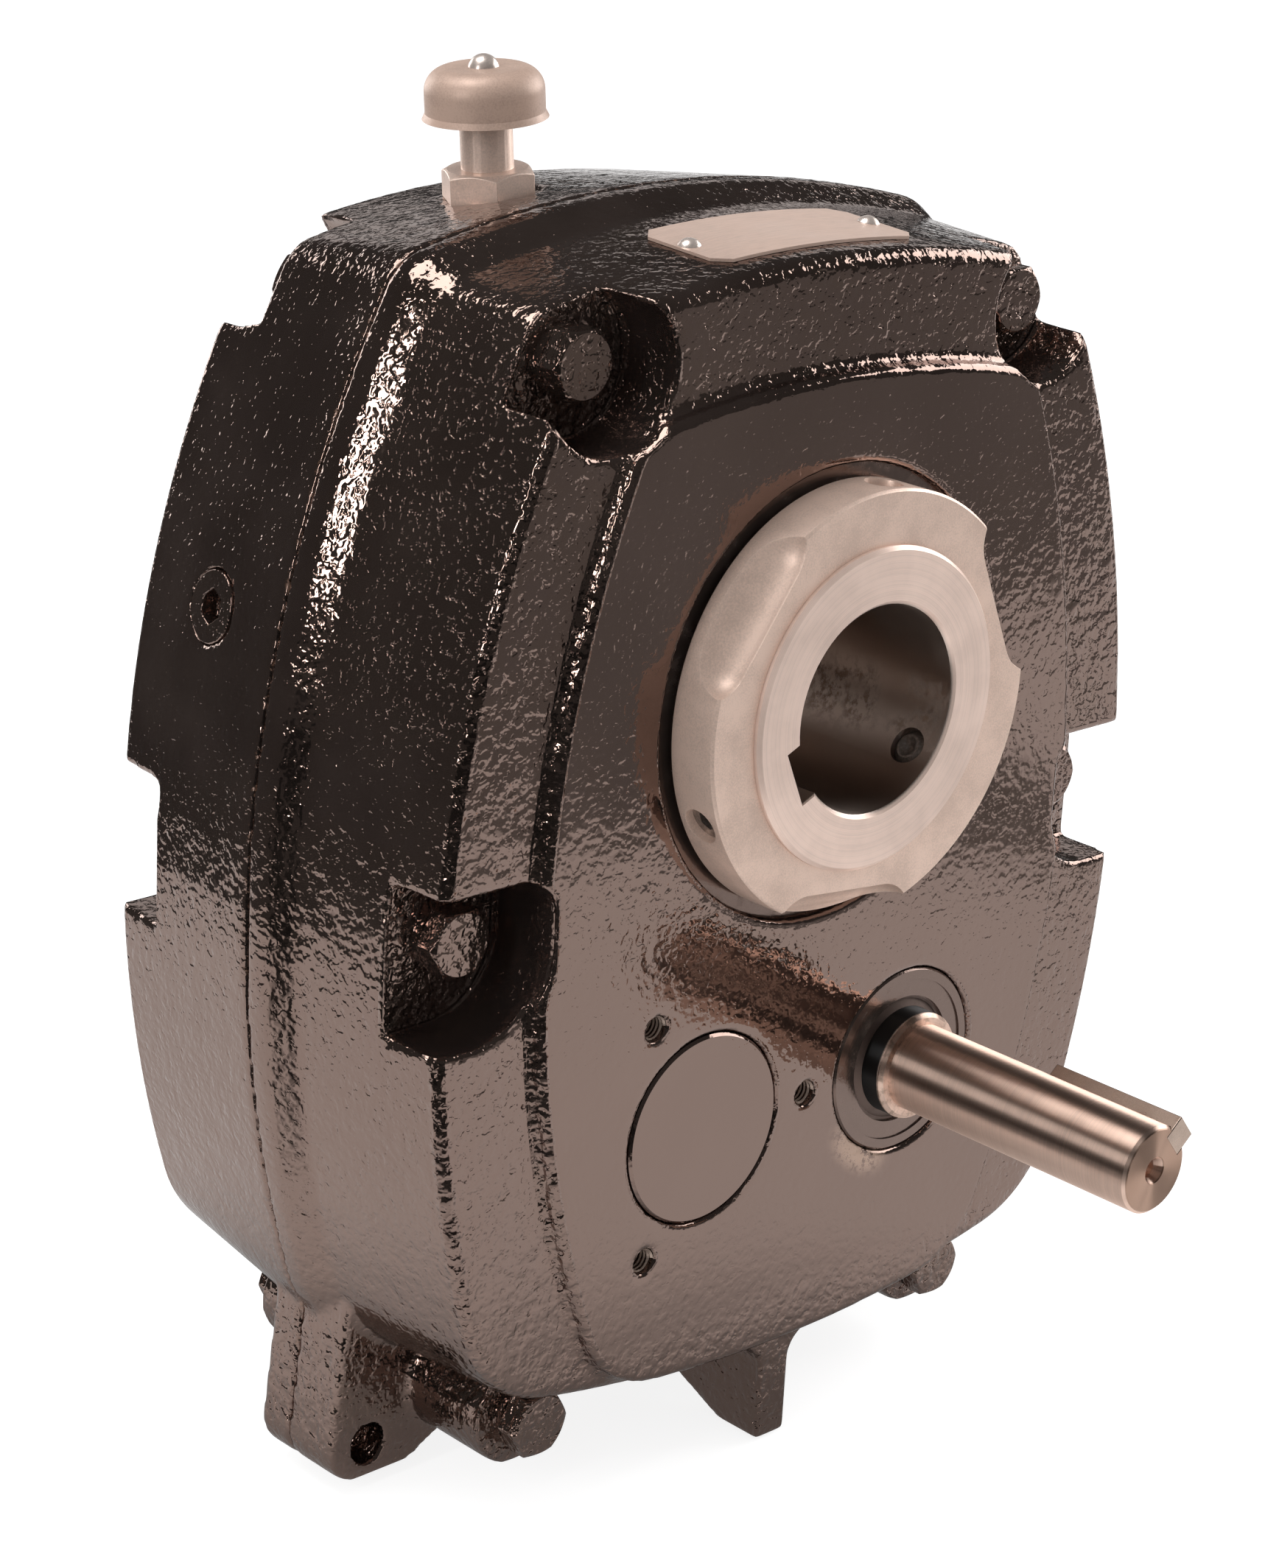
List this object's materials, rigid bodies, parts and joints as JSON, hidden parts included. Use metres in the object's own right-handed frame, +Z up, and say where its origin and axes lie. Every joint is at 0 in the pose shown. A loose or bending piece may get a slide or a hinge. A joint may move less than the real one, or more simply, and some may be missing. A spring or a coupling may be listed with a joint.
{
  "type": "shaft mount reducer",
  "caption": "Gear reducer that hangs on the shaft it drives: cast casing in bolted halves, hollow keyed hub with clamping collars, keyed input shaft, vent and torque arm lugs.",
  "frame": {"origin": "on the output axis, in the joint plane of the two casing halves", "axes": "+Y along the output axis towards the rear, -Y towards the input shaft's free end, +Z up with the vent on top"},
  "size_m": [0.266, 0.2439, 0.3655],
  "materials": {
    "casing_paint": "gloss black enamel over sand casting",
    "hub_steel": "turned steel, lightly stained",
    "collar_steel": "satin plated steel",
    "key_steel": "drawn steel",
    "gear_steel": "hobbed and ground steel",
    "ground_steel": "ground steel",
    "bearing_steel": "polished bearing steel",
    "seal_rubber": "moulded black rubber",
    "vent_metal": "dull plated steel",
    "plate_aluminium": "satin, bare"
  },
  "bodies": {
    "casing": {"front_casing": "casing_paint", "rear_casing": "casing_paint", "front_hub_seal": "seal_rubber", "rear_hub_seal": "seal_rubber", "input_seal": "seal_rubber", "front_layshaft_disc": "casing_paint", "rear_layshaft_disc": "casing_paint", "rear_input_disc": "casing_paint", "casing_bolts": "casing_paint", "spring_washers": "casing_paint", "casing_nuts": "casing_paint", "dowel_pins": "key_steel", "vent_body": "vent_metal", "vent_cap": "vent_metal", "vent_rivet": "vent_metal", "oil_plugs": "casing_paint", "nameplate": "plate_aluminium", "nameplate_rivets": "plate_aluminium", "front_hub_bearing_outer": "bearing_steel", "front_hub_bearing_rollers": "bearing_steel", "rear_hub_bearing_outer": "bearing_steel", "rear_hub_bearing_rollers": "bearing_steel", "front_layshaft_bearing_outer": "bearing_steel", "front_layshaft_bearing_rollers": "bearing_steel", "rear_layshaft_bearing_outer": "bearing_steel", "rear_layshaft_bearing_rollers": "bearing_steel", "front_input_bearing_outer": "bearing_steel", "front_input_bearing_rollers": "bearing_steel", "rear_input_bearing_outer": "bearing_steel", "rear_input_bearing_rollers": "bearing_steel"},
    "output": {"output_hub": "hub_steel", "output_gear": "gear_steel", "output_gear_key": "key_steel", "front_collar": "collar_steel", "rear_collar": "collar_steel", "collar_set_screws": "key_steel", "front_hub_bearing_inner": "bearing_steel", "rear_hub_bearing_inner": "bearing_steel"},
    "layshaft": {"layshaft": "gear_steel", "layshaft_gear": "gear_steel", "layshaft_gear_key": "key_steel", "layshaft_spacer": "gear_steel", "front_layshaft_bearing_inner": "bearing_steel", "rear_layshaft_bearing_inner": "bearing_steel"},
    "input": {"input_shaft": "ground_steel", "input_key": "key_steel", "front_input_bearing_inner": "bearing_steel", "rear_input_bearing_inner": "bearing_steel"}
  },
  "joints": [
    {"name": "output_spin", "type": "hinge", "parent": "casing", "child": "output", "pos_m": [0, 0, 0], "axis": [0, 1, 0], "continuous": true},
    {"name": "layshaft_spin", "type": "hinge", "parent": "casing", "child": "layshaft", "pos_m": [-0.0375, 0, -0.11083], "axis": [0, 1, 0], "continuous": true},
    {"name": "input_spin", "type": "hinge", "parent": "casing", "child": "input", "pos_m": [0.0375, 0, -0.11083], "axis": [0, 1, 0], "continuous": true}
  ],
  "couplings": [
    {"joint": "layshaft_spin", "follows": "output_spin", "ratio": -3.875},
    {"joint": "input_spin", "follows": "output_spin", "ratio": 13.221}
  ]
}
